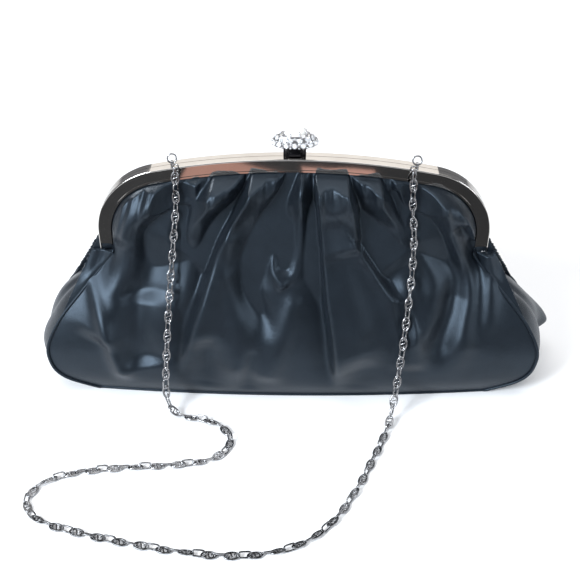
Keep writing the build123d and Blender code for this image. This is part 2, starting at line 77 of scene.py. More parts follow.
# height, seam half width, seam half depth, half depth at the middle, gusset bulge
STATIONS = np.array([
    (0.0, 108.0, 23.0, 28.0, 2.5), (10.0, 126.0, 26.0, 32.0, 4.5), (25.0, 134.5, 26.0, 33.0, 6.0),
    (45.0, 128.0, 21.0, 29.5, 5.0), (62.0, 113.5, 13.0, 23.5, 3.0), (75.0, 101.5, 6.5, 18.0, 1.0),
    (84.0, 95.5, 3.8, 14.0, 0.5), (100.0, 98.0, 3.4, 10.0, 0.5), (112.0, 98.0, 3.4, 8.0, 0.5),
    (122.0, 92.0, 3.4, 6.0, 0.5), (130.0, 86.0, 3.4, 4.5, 0.5), (137.0, 80.0, 3.4, 3.6, 0.5)])


def smooth_rows(table, count):
    """The station table resampled along its height with a smooth curve through every row."""
    z = table[:, 0]
    fine = np.linspace(z[0], z[-1], count)
    slope = np.gradient(table, z, axis=0)
    out = np.zeros((count, table.shape[1]))
    for row, height in enumerate(fine):
        k = min(np.searchsorted(z, height, side="right") - 1, len(z) - 2)
        step = z[k + 1] - z[k]
        t = (height - z[k]) / step
        a, b = 2 * t ** 3 - 3 * t ** 2 + 1, t ** 3 - 2 * t ** 2 + t
        c, d = -2 * t ** 3 + 3 * t ** 2, t ** 3 - t ** 2
        out[row] = a * table[k] + b * step * slope[k] + c * table[k + 1] + d * step * slope[k + 1]
    out[:, 0] = fine
    return out


BODY = smooth_rows(STATIONS, 400)


def size_at(z, column):
    """One column of the station table at a height."""
    return np.interp(z, BODY[:, 0], BODY[:, column])


def depth_at(x, z):
    """Half depth of the plain body, before gathers, at a point of its front view."""
    seam, middle = size_at(z, 2), size_at(z, 3)
    across = np.clip(x / size_at(z, 1), -1, 1)
    return seam + (middle - seam) * (1 - across ** 2)


def outline_inset(x, z):
    """How far a point of the front view lies inside the frame's outline."""
    ax = np.abs(x)
    side = FRAME_HALF - ax
    crown = CROWN_R - np.hypot(ax, z - CROWN_Z)
    corner = SHOULDER_R - np.hypot(ax - SHOULDER_X, z - SHOULDER_Z)
    toward_crown = (ax - SHOULDER_X) * (SHOULDER_Z - CROWN_Z) - (z - SHOULDER_Z) * SHOULDER_X
    in_corner = (z > SHOULDER_Z) & (toward_crown > 0)
    return np.where(in_corner, corner, np.minimum(side, crown))


def frame_curve(inset, foot, count):
    """Points of the frame's outline moved in by inset, from the left foot over to the right."""
    half, shoulder, crown = FRAME_HALF - inset, SHOULDER_R - inset, CROWN_R - inset
    lean = math.atan2(SHOULDER_X, SHOULDER_Z - CROWN_Z)
    right = [(half, foot)]
    for i in range(25):
        a = (math.pi / 2 - lean) * i / 24
        right.append((SHOULDER_X + shoulder * math.cos(a), SHOULDER_Z + shoulder * math.sin(a)))
    for i in range(1, 25):
        a = lean * (1 - i / 24)
        right.append((crown * math.sin(a), CROWN_Z + crown * math.cos(a)))
    left = [(-x, z) for x, z in right[:-1]]
    return resample(np.array(left + right[::-1]), count)


def seam_curve(top, count):
    """The seam in the front view: down the left side, along the floor, up the right."""
    z = np.linspace(top, 0, 60)
    side = np.stack([size_at(z, 1), z], axis=1)
    floor = np.stack([np.linspace(side[-1, 0], 0, 30)[1:], np.zeros(29)], axis=1)
    right = np.concatenate([side, floor])
    left = right * np.array([-1, 1])
    return resample(np.concatenate([left, right[::-1][1:]]), count)


def resample(points, count):
    """The same line with count points spaced evenly along it."""
    steps = np.linalg.norm(np.diff(points, axis=0), axis=1)
    along = np.concatenate([[0], np.cumsum(steps)])
    even = np.linspace(0, along[-1], count)
    return np.stack([np.interp(even, along, points[:, k]) for k in range(points.shape[1])], axis=1)


# ---------------------------------------------------------------- route of the chain (mm)
CHAIN_POINTS = [
    (-60.5, -8.1, 132.4), (-60.5, -8.1, 117), (-62.5, -11, 99), (-64.5, -15.5, 81), (-66, -24.5, 63),
    (-67.5, -33, 44), (-69, -38.5, 24), (-69.5, -42.5, 9), (-64, -47.5, 2.6), (-49, -49.5, 2.6),
    (-37, -55.5, 2.6), (-31.5, -66.5, 2.6), (-36.5, -78, 2.6), (-51, -83.5, 2.6), (-80, -86, 2.6),
    (-108, -89, 2.6), (-127, -96, 2.6), (-134.5, -109, 2.6), (-127, -122, 2.6), (-108, -129, 2.6),
    (-80, -136, 2.6), (-52, -141.5, 2.6), (-24, -144, 2.6), (1, -139, 2.6), (19, -125, 2.6),
    (32.5, -102, 2.6), (44.5, -75, 2.6), (52.5, -54, 2.6), (55.5, -44.5, 10), (57.5, -39.5, 26),
    (59.5, -33, 44), (61.5, -24.5, 62), (63, -16.5, 79), (63, -11, 99), (60.5, -8.1, 117),
    (60.5, -8.1, 132.4)]
CHAIN_WIDTH, CHAIN_LENGTH, LINK_UNITS, WIRE = 4.6, 683.4, 62, 0.52


def chain_room(x, z):
    """Depth that the hanging chain leaves for the satin: it presses a shallow groove."""
    room = np.full(x.shape, 99.0)
    for drop in (CHAIN_POINTS[1:8], CHAIN_POINTS[-2:-9:-1]):
        line = np.array(drop)[::-1]
        middle = np.interp(z, line[:, 2], line[:, 0])
        depth = -np.interp(z, line[:, 2], line[:, 1])
        away = np.abs(x - middle)
        room = np.minimum(room, depth - 2.7 + 0.05 * away ** 2 + np.where(z < 12, 9.0, 0.0))
    return room


# ---------------------------------------------------------------- gathers (mm, front view)
FOLD_DEPTH = 2.5
# Each fold: line of points (x, z), kind, height, width, how strong it is at its top and its foot
FRONT_FOLDS = [
    ([(-56, 127), (-72, 113), (-85, 101), (-92, 86)], "ridge", 2.6, 7.0, 0.8, 0.5),
    ([(-41, 127), (-50, 115), (-57, 101), (-60, 88)], "over_right", 3.2, 5.5, 1.0, 0.2),
    ([(-33, 126), (-46, 112), (-51, 96), (-54, 72), (-60, 45)], "ridge", 3.4, 6.5, 0.7, 0.3),
    ([(-22, 128), (-31, 110), (-41, 91), (-49, 67), (-56, 47), (-64, 16)], "over_right", 5.0, 7.0, 1.0, 0.7),
    ([(-60, 108), (-72, 90), (-80, 70), (-80, 56)], "valley", 5.5, 10.0, 0.4, 0.3),
    ([(-109, 66), (-102, 47), (-97, 30), (-90, 8)], "ridge", 2.6, 4.5, 0.2, 1.0),
    ([(-86, 60), (-84, 40), (-80, 20)], "valley", 2.6, 9.0, 0.4, 0.8),
    ([(-1, 128), (-9, 113), (-15, 97), (-21, 81), (-23, 66), (-17, 52), (-15, 38)],
     "valley", 4.8, 5.0, 1.0, 0.3),
    ([(3, 127), (4, 104), (3, 84), (-3, 68)], "ridge", 2.2, 3.5, 1.0, 0.3),
    ([(-12, 92), (-10, 78), (-3, 68)], "ridge", 2.0, 3.0, 0.2, 0.9),
    ([(-5, 96), (-5, 84), (-6, 76)], "valley", 2.2, 2.6, 0.5, 0.5),
    ([(11, 128), (13, 99), (16, 68), (20, 42), (24, 2)], "over_right", 4.2, 9.0, 1.0, 0.9),
    ([(27, 128), (32, 113), (34, 102), (37, 89)], "over_left", 4.6, 6.5, 1.0, 0.9),
    ([(37, 89), (50, 70), (63, 54), (74, 30)], "over_left", 3.6, 9.0, 1.0, 0.1),
    ([(43, 128), (50, 115), (58, 101), (68, 90)], "over_left", 4.6, 7.0, 1.0, 0.2),
    ([(52, 119), (57, 110), (64, 104)], "valley", 2.6, 3.0, 0.8, 0.3),
    ([(67, 127), (80, 115), (94, 102), (102, 90)], "ridge", 3.0, 6.0, 0.9, 0.6),
    ([(103, 88), (106, 72), (106, 56), (104, 38)], "ridge", 2.4, 4.5, 0.9, 0.2),
    ([(76, 112), (85, 92), (95, 74), (97, 59), (93, 42), (86, 14)], "ridge", 4.2, 6.0, 0.3, 0.3),
    ([(64, 104), (76, 89), (87, 72), (86, 54), (80, 37), (75, 20)], "valley", 4.8, 6.0, 0.5, 0.4),
    ([(60, 94), (71, 78), (75, 66), (73, 50), (66, 36)], "ridge", 3.2, 5.5, 0.3, 0.2),
    ([(-34, 76), (-32, 58), (-30, 39), (-31, 8)], "ridge", 2.6, 7.0, 0.3, 0.6),
    ([(0, 60), (-8, 36), (-16, 10)], "ridge", 2.8, 6.5, 0.3, 0.5),
    ([(-46, 40), (-46, 22), (-48, 6)], "valley", 2.0, 7.0, 0.3, 0.6),
    ([(-22, 32), (-24, 18), (-24, 4)], "valley", 2.0, 4.0, 0.2, 0.8),
    ([(38, 40), (38, 22), (36, 4)], "valley", 1.6, 8.0, 0.2, 0.7),
    ([(22, 112), (26, 84), (34, 50), (40, 22)], "ridge", 2.4, 9.0, 0.5, 0.9),
    ([(-86, 84), (-98, 58), (-106, 34)], "ridge", 2.6, 10.0, 0.6, 0.8),
    ([(-32, 96), (-42, 66), (-48, 34)], "ridge", 2.6, 7.0, 0.7, 0.5),
    ([(60, 66), (66, 44), (66, 20)], "ridge", 2.2, 8.0, 0.5, 0.6),
    ([(88, 100), (97, 82), (101, 62), (98, 34)], "valley", 3.4, 5.0, 0.6, 0.4),
]
BACK_FOLDS = [
    ([(-66, 127), (-80, 114), (-93, 101), (-100, 86)], "ridge", 2.6, 7.0, 0.8, 0.5),
    ([(-46, 127), (-58, 108), (-68, 86), (-76, 60), (-78, 30)], "over_right", 4.4, 8.0, 1.0, 0.3),
    ([(-30, 128), (-38, 104), (-44, 80), (-46, 54)], "valley", 4.6, 5.5, 1.0, 0.2),
    ([(-16, 128), (-19, 98), (-24, 66), (-30, 32), (-34, 4)], "over_right", 4.4, 8.0, 1.0, 0.8),
    ([(-4, 128), (-4, 104), (-6, 82), (-9, 62)], "valley", 3.6, 4.0, 1.0, 0.2),
    ([(9, 128), (11, 98), (12, 64), (9, 30)], "ridge", 3.4, 6.0, 0.9, 0.3),
    ([(21, 128), (26, 104), (32, 80), (42, 54), (48, 28)], "over_left", 4.8, 8.0, 1.0, 0.4),
    ([(38, 128), (44, 110), (53, 90), (60, 74)], "valley", 4.6, 5.0, 1.0, 0.2),
    ([(56, 127), (68, 108), (80, 84), (86, 58), (84, 28)], "ridge", 4.2, 7.0, 0.8, 0.3),
    ([(72, 126), (86, 112), (97, 98), (102, 86)], "ridge", 2.8, 6.0, 0.8, 0.5),
    ([(70, 88), (76, 66), (74, 40), (68, 16)], "valley", 4.4, 7.0, 0.4, 0.4),
    ([(-62, 60), (-60, 36), (-62, 10)], "valley", 2.8, 8.0, 0.3, 0.7),
    ([(0, 52), (-2, 28), (0, 6)], "valley", 2.2, 7.0, 0.3, 0.7),
]


def smooth_line(points, count=48):
    """A Catmull-Rom curve through a few given points."""
    p = np.array(points, float)
    p = np.vstack([2 * p[0] - p[1], p, 2 * p[-1] - p[-2]])
    out = []
    spans = len(p) - 3
    for u in np.linspace(0, spans - 1e-9, count):
        k, t = int(u), u - int(u)
        a, b, c, d = p[k:k + 4]
        out.append(0.5 * (2 * b + (c - a) * t + (2 * a - 5 * b + 4 * c - d) * t * t
                          + (3 * b - a - 3 * c + d) * t ** 3))
    return np.array(out)


def fold_height(x, z, folds):
    """Sum of all the folds at points of the front view: out of the bag is positive."""
    total = np.zeros_like(x)
    for points, kind, height, width, head, foot in folds:
        line = smooth_line(points, 40)
        best = np.full(x.shape, 1e9)
        signed = np.zeros_like(x)
        along = np.zeros_like(x)
        for i in range(len(line) - 1):
            step = line[i + 1] - line[i]
            t = np.clip(((x - line[i, 0]) * step[0] + (z - line[i, 1]) * step[1]) / (step @ step), 0, 1)
            dx, dz = x - line[i, 0] - t * step[0], z - line[i, 1] - t * step[1]
            dist = np.hypot(dx, dz)
            near = dist < best
            best = np.where(near, dist, best)
            signed = np.where(near, np.where(dx * step[1] - dz * step[0] < 0, -dist, dist), signed)
            along = np.where(near, (i + t) / (len(line) - 1), along)
        strength = head + (foot - head) * along
        # Beyond its foot a fold dies away; at its head it runs into the frame
        fade = np.clip((1 - along) / 0.2, 0, 1)
        strength = strength * (fade * fade * (3 - 2 * fade))
        spread = width * (0.75 + 0.6 * along)
        if kind.startswith("over"):
            # Folded edge: the cloth on one side of the line stands over the other side
            over = signed if kind == "over_left" else -signed
            high = np.exp(-np.clip(over, 0, None) / spread)
            low = -0.75 * np.exp(-np.clip(-over, 0, None) / (0.8 * spread))
            edge = 0.5 + 0.5 * np.tanh(over / (0.7 + 2.0 * along))
            total += height * strength * (high * edge + low * (1 - edge))
        else:
            bump = np.exp(-(signed / spread) ** 2)
            total += (height if kind == "ridge" else -height) * strength * bump
    return FOLD_DEPTH * total


def gathers(x, z, phase):
    """Small irregular pleats where the cloth runs into the frame, gone 25 mm below it."""
    inset = outline_inset(x, z)
    near = np.exp(-np.clip(inset - FACE_WIDTH, 0, None) / 9.0) * np.clip((z - 70) / 30, 0, 1)
    lean = x / (1 + np.clip(130 - z, 0, None) / 240)
    wave = (np.sin(lean * 0.62 + phase) + 0.6 * np.sin(lean * 1.13 + 1.7 * phase)
            + 0.4 * np.sin(lean * 1.9 + phase))
    return 0.85 * near * wave


def shade_smooth(mesh, smooth=True):
    for poly in mesh.polygons:
        poly.use_smooth = smooth


def link(obj):
    bpy.context.scene.collection.objects.link(obj)
    return obj


def from_bmesh(name, work):
    """An object, not yet in the scene, out of a finished bmesh."""
    mesh = bpy.data.meshes.new(name)
    work.to_mesh(mesh)
    work.free()
    return bpy.data.objects.new(name, mesh)


def new_mesh_object(name, verts, faces, smooth=True):
    """A mesh in the scene from its points (metres) and faces."""
    mesh = bpy.data.meshes.new(name)
    mesh.from_pydata([tuple(v) for v in verts], [], faces)
    mesh.update()
    shade_smooth(mesh, smooth)
    return link(bpy.data.objects.new(name, mesh))


def grid_faces(rows, columns, flip=False):
    """Quads of a grid of points given row by row."""
    faces = []
    for r in range(rows - 1):
        for c in range(columns - 1):
            a = r * columns + c
            quad = (a, a + 1, a + columns + 1, a + columns)
            faces.append(quad[::-1] if flip else quad)
    return faces


def apply_modifiers(obj):
    depsgraph = bpy.context.evaluated_depsgraph_get()
    mesh = bpy.data.meshes.new_from_object(obj.evaluated_get(depsgraph))
    obj.modifiers.clear()
    obj.data = mesh
    shade_smooth(mesh)


def thicken(obj, thickness, offset=-1.0):
    """Give a sheet its thickness, in metres."""
    solid = obj.modifiers.new("thickness", "SOLIDIFY")
    solid.thickness = thickness
    solid.offset = offset
    apply_modifiers(obj)


def panel(name, side, folds, columns=380, rows=170, phase=0.3, under=0.0, start=0.0, narrow=1.0):
    """One gathered panel, from inside the frame's channel to the seam: side -1 front, 1 back."""
    top = frame_curve(TOP_INSET, FACE_FOOT, columns)
    low = seam_curve(FACE_FOOT - 3, columns)
    t = np.linspace(start, 1.0 if under == 0 else 0.97, rows)[:, None]
    x = top[:, 0] * (1 - t) + low[:, 0] * t
    z = top[:, 1] * (1 - t) + low[:, 1] * t
    plain = depth_at(x, z)
    inset = outline_inset(x, z)
    seam_near = np.clip((1 - t) * 5, 0, 1)
    seam_near = seam_near * seam_near * (3 - 2 * seam_near)
    puff = 5.5 * np.exp(-((inset - 16) / 10) ** 2) * np.clip((z - 60) / 25, 0, 1)
    relief = (fold_height(x, z, folds) + gathers(x, z, phase)) * (0.12 + 0.88 * seam_near) + puff
    depth = plain + relief
    room = np.where(z > FACE_FOOT - 4, 3.1 + 4.5 * np.clip(inset - FACE_WIDTH - 0.35, 0, None) ** 0.8, 99.0)
    low_room = 2.3 + 0.25 * np.clip(inset - TOP_INSET, 0, None)
    if side < 0:
        room = np.minimum(room, chain_room(x, z))
    depth = np.minimum(depth, room)
    depth = np.maximum(depth, np.minimum(low_room, room)) - under
    if under:
        depth = np.maximum(depth, 0.8)
    verts = np.stack([x * narrow, side * depth, z], axis=2).reshape(-1, 3) * MM
    verts[:, 2] = np.maximum(verts[:, 2], 0.0006)
    return new_mesh_object(name, verts, grid_faces(rows, columns, flip=side < 0))


def gusset(name, side, corner_out, rows=90, columns=42):
    """Side wall between the seams, with the soft crease that a frame bag folds along."""
    z = np.linspace(0.6, 81.0, rows)[:, None]
    v = np.linspace(-1, 1, columns)[None, :]
    half, seam, bulge = size_at(z, 1), size_at(z, 2), size_at(z, 4)
    crease = 2.6 * np.exp(-(v / 0.22) ** 2) * np.clip((z - 18) / 30, 0, 1) * np.clip((84 - z) / 20, 0, 1)
    soft = 0.8 * np.sin(z * 0.16 + 2.2 * v + side) * (1 - v ** 2) * np.clip(z / 12, 0, 1)
    corner = (corner_out * np.exp(-np.abs((z - 18) / 13) ** 1.5)
              * np.exp(-((v - 0.82) / 0.36) ** 2) * (1 - v ** 10))
    x = half + bulge * (1 - np.abs(v) ** 2.4) - crease + soft + corner
    y = seam * v
    verts = np.stack([side * x, y + 0 * x, z + 0 * x], axis=2).reshape(-1, 3) * MM
    obj = new_mesh_object(name, verts, grid_faces(rows, columns, flip=side < 0))
    thicken(obj, 0.0009)
    return obj


def tube(name, points, radius):
    """A round cord through closely spaced points (metres)."""
    curve = bpy.data.curves.new(name, "CURVE")
    curve.dimensions = "3D"
    spline = curve.splines.new("POLY")
    spline.points.add(len(points) - 1)
    for point, place in zip(spline.points, points):
        point.co = (*place, 1)
    curve.bevel_depth = radius
    curve.bevel_resolution = 4
    curve.use_fill_caps = True
    holder = link(bpy.data.objects.new(name + "_path", curve))
    mesh = bpy.data.meshes.new_from_object(holder)
    bpy.data.objects.remove(holder)
    shade_smooth(mesh)
    return link(bpy.data.objects.new(name, mesh))


def seam_cord(name, side, out, radius, top=81.0):
    """Satin-covered cord lying along a seam."""
    seam = seam_curve(top, 420)
    depth = size_at(seam[:, 1], 2)
    middle = size_at(seam[:, 1], 3)
    on_floor = np.clip(1 - seam[:, 1] / 2.0, 0, 1)
    across = np.clip(1 - (seam[:, 0] / size_at(0.0, 1)) ** 2, 0, 1)
    depth = depth + (middle - depth) * across * on_floor
    sideways = np.sign(seam[:, 0]) * out * 0.7 * (1 - on_floor)
    x = seam[:, 0] + sideways
    y = side * (depth + out * 0.7)
    z = np.maximum(seam[:, 1], radius + 0.1)
    return tube(name, np.stack([x, y, z], axis=1) * MM, radius * MM)


def join(name, objects):
    """One object out of several meshes."""
    work = bmesh.new()
    for obj in objects:
        work.from_mesh(obj.data)
        bpy.data.objects.remove(obj)
    out = link(from_bmesh(name, work))
    shade_smooth(out.data)
    return out


def pocket():
    """Open pocket sewn flat on the front lining, its mouth at the top."""
    rows, columns = 40, 80
    u = np.linspace(-1, 1, columns)[None, :]
    v = np.linspace(0, 1, rows)[:, None]
    x = 45.0 * u + 0 * v
    z = 14.0 + 42.0 * v - 1.2 * v * (1 - u ** 2)
    loose = 0.9 * v * (1 - u ** 2)
    depth = np.maximum(depth_at(x * 1.03, z) + fold_height(x * 1.03, z, FRONT_FOLDS) - 7.0 - loose, 1.2)
    verts = np.stack([x, -depth, z], axis=2).reshape(-1, 3) * MM
    obj = new_mesh_object("inner_pocket", verts, grid_faces(rows, columns))
    thicken(obj, 0.0004)
    return obj


def base_sheet():
    """The bottom of the bag: one piece of satin over its board, sewn to the four walls."""
    rows, columns = 30, 90
    u = np.linspace(-1, 1, columns)[None, :]
    v = np.linspace(-1, 1, rows)[:, None]
    half, seam, middle = size_at(0.0, 1), size_at(0.0, 2), size_at(0.0, 3)
    x = (half + 1.5 * (1 - v ** 2)) * u
    y = (seam + (middle - seam) * (1 - u ** 2)) * v
    z = 0.15 + 0.5 * np.maximum(np.abs(u) ** 12, np.abs(v) ** 8) + 0 * x
    verts = np.stack([x, y, z], axis=2).reshape(-1, 3) * MM
    obj = new_mesh_object("base_satin", verts, grid_faces(rows, columns, flip=True))
    thicken(obj, 0.0008)
    return obj


def inner_ring():
    """The rest of the lining: its floor and its two side walls, in one piece."""
    rows, columns = 30, 80
    parts = []
    u = np.linspace(-1, 1, columns)[None, :]
    v = np.linspace(-1, 1, rows)[:, None]
    half, seam = size_at(4.0, 1) - 5, size_at(4.0, 2) - 1
    verts = np.stack([half * u + 0 * v, seam * v + 0 * u, 3.6 + 0.3 * np.sin(5 * u) * np.cos(3 * v)], axis=2)
    parts.append(new_mesh_object("lining_floor_part", verts.reshape(-1, 3) * MM, grid_faces(rows, columns)))
    for side in (-1, 1):
        z = np.linspace(3.6, 74, 50)[:, None]
        w = np.linspace(-1, 1, 24)[None, :]
        x = size_at(z, 1) - 4.2 + 0.6 * size_at(z, 4) * (1 - w ** 2)
        y = (size_at(z, 2) - 0.8) * w
        verts = np.stack([side * x + 0 * y, y + 0 * x, z + 0 * x + 0 * y], axis=2).reshape(-1, 3) * MM
        parts.append(new_mesh_object("lining_side_part", verts, grid_faces(50, 24, flip=side > 0)))
    obj = join("lining_floor_and_sides", parts)
    thicken(obj, 0.0004, offset=0)
    return obj


# ---------------------------------------------------------------- materials
def new_material(name):
    mat = bpy.data.materials.new(name)
    mat.use_nodes = True
    tree = mat.node_tree
    shader = tree.nodes["Principled BSDF"]
    return mat, tree.nodes, tree.links, shader


def object_coordinates(nodes):
    return nodes.new("ShaderNodeTexCoord").outputs["Object"]


def bump_of(nodes, links, height, strength, distance, after=None):
    bump = nodes.new("ShaderNodeBump")
    bump.inputs["Strength"].default_value = strength
    bump.inputs["Distance"].default_value = distance
    links.new(height, bump.inputs["Height"])
    if after is not None:
        links.new(after, bump.inputs["Normal"])
    return bump.outputs["Normal"]


def noise(nodes, links, where, scale, detail=2.0, rough=0.5):
    tex = nodes.new("ShaderNodeTexNoise")
    tex.inputs["Scale"].default_value = scale
    tex.inputs["Detail"].default_value = detail
    tex.inputs["Roughness"].default_value = rough
    links.new(where, tex.inputs["Vector"])
    return tex.outputs["Fac"]


def ramp(nodes, links, value, low, high, low_at=0.3, high_at=0.7):
    mix = nodes.new("ShaderNodeValToRGB")
    mix.color_ramp.elements[0].position = low_at
    mix.color_ramp.elements[1].position = high_at
    mix.color_ramp.elements[0].color = low
    mix.color_ramp.elements[1].color = high
    links.new(value, mix.inputs["Fac"])
    return mix.outputs["Color"]


def satin_material(name, base, light, roughness=0.37, sheen=0.04):
    """Warp-faced satin: fine floats, a soft broad gloss and slight tone changes."""
    mat, nodes, links, shader = new_material(name)
    where = object_coordinates(nodes)
    stretch = nodes.new("ShaderNodeMapping")
    stretch.inputs["Scale"].default_value = (1.0, 1.0, 0.28)
    links.new(where, stretch.inputs["Vector"])
    floats = noise(nodes, links, stretch.outputs["Vector"], 2600, 3.0, 0.7)
    slub = noise(nodes, links, where, 90, 3.0)
    grain = nodes.new("ShaderNodeMath")
    grain.operation = "MULTIPLY_ADD"
    links.new(floats, grain.inputs[0])
    grain.inputs[1].default_value = 0.75
    links.new(slub, grain.inputs[2])
    color = ramp(nodes, links, grain.outputs[0], base, light, 0.55, 1.15)
    links.new(color, shader.inputs["Base Color"])
    rough = nodes.new("ShaderNodeMapRange")
    rough.inputs["From Min"].default_value = 0.3
    rough.inputs["From Max"].default_value = 0.7
    rough.inputs["To Min"].default_value = roughness - 0.05
    rough.inputs["To Max"].default_value = roughness + 0.06
    links.new(floats, rough.inputs["Value"])
    links.new(rough.outputs["Result"], shader.inputs["Roughness"])
    shader.inputs["Specular IOR Level"].default_value = 0.42
    shader.inputs["Specular Tint"].default_value = (0.62, 0.80, 1.0, 1)
    shader.inputs["Anisotropic"].default_value = 0.3
    shader.inputs["Sheen Weight"].default_value = sheen
    shader.inputs["Sheen Roughness"].default_value = 0.45
    shader.inputs["Sheen Tint"].default_value = (0.45, 0.6, 0.8, 1)
    first = bump_of(nodes, links, floats, 0.6, 0.00016)
    links.new(bump_of(nodes, links, slub, 0.25, 0.0006, first), shader.inputs["Normal"])
    return mat


def metal_material(name, color, roughness, wear=0.04, scale=400.0, dark_tone_and_shade=None):
    """Plated metal with faint polishing marks and changes of tone spread by noise; a very dark low tone, as
    on the chain, is painted shade.
    """
    mat, nodes, links, shader = new_material(name)
    where = object_coordinates(nodes)
    marks = noise(nodes, links, where, scale, 4.0, 0.6)
    shader.inputs["Metallic"].default_value = 1.0
    dark = tuple(c * 0.82 for c in color[:3]) + (1,)
    # Noise blends the low tone into the colour; on the chain that low tone is painted shade.
    links.new(ramp(nodes, links, marks, dark_tone_and_shade or dark, color), shader.inputs["Base Color"])
    spread = nodes.new("ShaderNodeMapRange")
    spread.inputs["To Min"].default_value = max(roughness - wear, 0.01)
    spread.inputs["To Max"].default_value = roughness + wear
    links.new(marks, spread.inputs["Value"])
    links.new(spread.outputs["Result"], shader.inputs["Roughness"])
    links.new(bump_of(nodes, links, marks, 0.04, 0.0002), shader.inputs["Normal"])
    return mat


def plain_material(name, low, high, roughness, scale, depth=0.0003, strength=0.3, sheen=0.0):
    """Matt cloth, card or enamel: two tones of noise with its own grain."""
    mat, nodes, links, shader = new_material(name)
    where = object_coordinates(nodes)
    grain = noise(nodes, links, where, scale, 4.0, 0.6)
    links.new(ramp(nodes, links, grain, low, high), shader.inputs["Base Color"])
    spread = nodes.new("ShaderNodeMapRange")
    spread.inputs["To Min"].default_value = roughness * 0.85
    spread.inputs["To Max"].default_value = min(roughness * 1.15, 1.0)
    links.new(grain, spread.inputs["Value"])
    links.new(spread.outputs["Result"], shader.inputs["Roughness"])
    shader.inputs["Sheen Weight"].default_value = sheen
    links.new(bump_of(nodes, links, grain, strength, depth), shader.inputs["Normal"])
    return mat


def crystal_material(name, tint, metallic=0.45, transmission=0.35):
    """Clear foiled crystal: bright facets with a little colour from cell to cell."""
    mat, nodes, links, shader = new_material(name)
    where = object_coordinates(nodes)
    cells = nodes.new("ShaderNodeTexVoronoi")
    cells.inputs["Scale"].default_value = 900
    links.new(where, cells.inputs["Vector"])
    color = ramp(nodes, links, cells.outputs["Distance"], (0.62, 0.66, 0.70, 1), tint, 0.1, 0.5)
    links.new(color, shader.inputs["Base Color"])
    shader.inputs["Roughness"].default_value = 0.03
    shader.inputs["IOR"].default_value = 1.75
    shader.inputs["Metallic"].default_value = metallic
    shader.inputs["Transmission Weight"].default_value = transmission
    shader.inputs["Coat Weight"].default_value = 1.0
    shader.inputs["Coat Roughness"].default_value = 0.02
    return mat


def wavy(mat, scale, distance):
    """Slow unevenness of pressed sheet, which bends what it mirrors."""
    nodes, links = mat.node_tree.nodes, mat.node_tree.links
    shader = nodes["Principled BSDF"]
    before = shader.inputs["Normal"].links[0].from_socket
    slow = noise(nodes, links, object_coordinates(nodes), scale, 1.0)
    links.new(bump_of(nodes, links, slow, 1.0, distance, before), shader.inputs["Normal"])


SATIN = satin_material("satin", (0.0026, 0.0036, 0.0052, 1), (0.0054, 0.0074, 0.0104, 1))
PIPING = satin_material("seam_satin", (0.0022, 0.0030, 0.0044, 1), (0.0046, 0.0062, 0.0090, 1), 0.45)
LINING = satin_material("lining_cloth", (0.010, 0.010, 0.012, 1), (0.022, 0.022, 0.026, 1), 0.55, 0.1)
FRAME = metal_material("black_nickel", (0.50, 0.48, 0.46, 1), 0.055, 0.02, 60.0, (0.44, 0.42, 0.40, 1))
wavy(FRAME, 14.0, 0.0008)
# The chain's very dark low tone is painted shade, spread over the wire by noise in place of the shade between
# its links.
CHAIN = metal_material("chain_metal", (0.46, 0.46, 0.47, 1), 0.22, 0.07, 500.0, (0.11, 0.11, 0.115, 1))
SETTING = metal_material("silver_setting", (0.66, 0.66, 0.67, 1), 0.14, 0.05, 500.0)
ENAMEL = plain_material("black_enamel", (0.004, 0.004, 0.005, 1), (0.010, 0.010, 0.011, 1),
                        0.16, 300, 0.0001, 0.05)
SPRING = metal_material("spring_steel", (0.5, 0.5, 0.52, 1), 0.3)
WADDING = plain_material("wadding", (0.30, 0.30, 0.31, 1), (0.42, 0.42, 0.43, 1), 0.9, 600, 0.0006, 0.6, 0.3)
CARD = plain_material("card", (0.26, 0.21, 0.15, 1), (0.36, 0.30, 0.22, 1), 0.8, 500, 0.0003, 0.4)
PAPER = plain_material("paper_cord", (0.36, 0.28, 0.18, 1), (0.50, 0.41, 0.28, 1), 0.8, 900, 0.0004, 0.5)
CRYSTAL = crystal_material("crystal", (0.97, 0.98, 1.0, 1))
CROWN = crystal_material("crown_crystal", (1.0, 0.98, 0.93, 1), 0.08, 0.06)


def dress(obj, material):
    obj.data.materials.clear()
    obj.data.materials.append(material)


def dress_node(node, material):
    """Give a carried-over CAD node its own finish."""
    for obj in bpy.data.objects:
        if obj.type != "MESH" or obj.name.split(".")[0] != node:
            continue
        for slot in obj.material_slots:
            slot.material = material
        if not obj.material_slots:
            obj.data.materials.append(material)


# ---------------------------------------------------------------- the satin body
SATIN_THICK, WADDING_THICK, LINING_THICK = 0.0007, 0.0012, 0.0004
WADDING_UNDER, LINING_UNDER = 5.0, 6.8  # mm inside the outer face of the satin
front = panel("front_satin", -1, FRONT_FOLDS, phase=0.4)
thicken(front, SATIN_THICK)
back = panel("back_satin", 1, BACK_FOLDS, phase=1.9)
thicken(back, SATIN_THICK)
for piece in (front, back):
    dress(piece, SATIN)
for side, word, folds, phase in ((-1, "front", FRONT_FOLDS, 0.4), (1, "back", BACK_FOLDS, 1.9)):
    pad = panel(word + "_wadding", side, folds, 170, 60, phase, under=WADDING_UNDER, start=0.42, narrow=0.975)
    thicken(pad, WADDING_THICK)
    dress(pad, WADDING)
    if side < 0:
        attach(pad, "body")
    else:
        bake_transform(pad)
    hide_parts(word + "_padding")
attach(front, "body")
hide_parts("front_panel")
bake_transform(back)
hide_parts("back_panel_lower", "back_panel_upper", "back_fold")

for side, word, corner_out in ((-1, "left", 1.0), (1, "right", 17.0)):
    wall = gusset("gusset_satin_" + word, side, corner_out)
    dress(wall, SATIN)
    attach(wall, "body")
    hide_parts("gusset_" + word)

bottom = base_sheet()
dress(bottom, SATIN)
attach(bottom, "body")
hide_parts("base_panel")

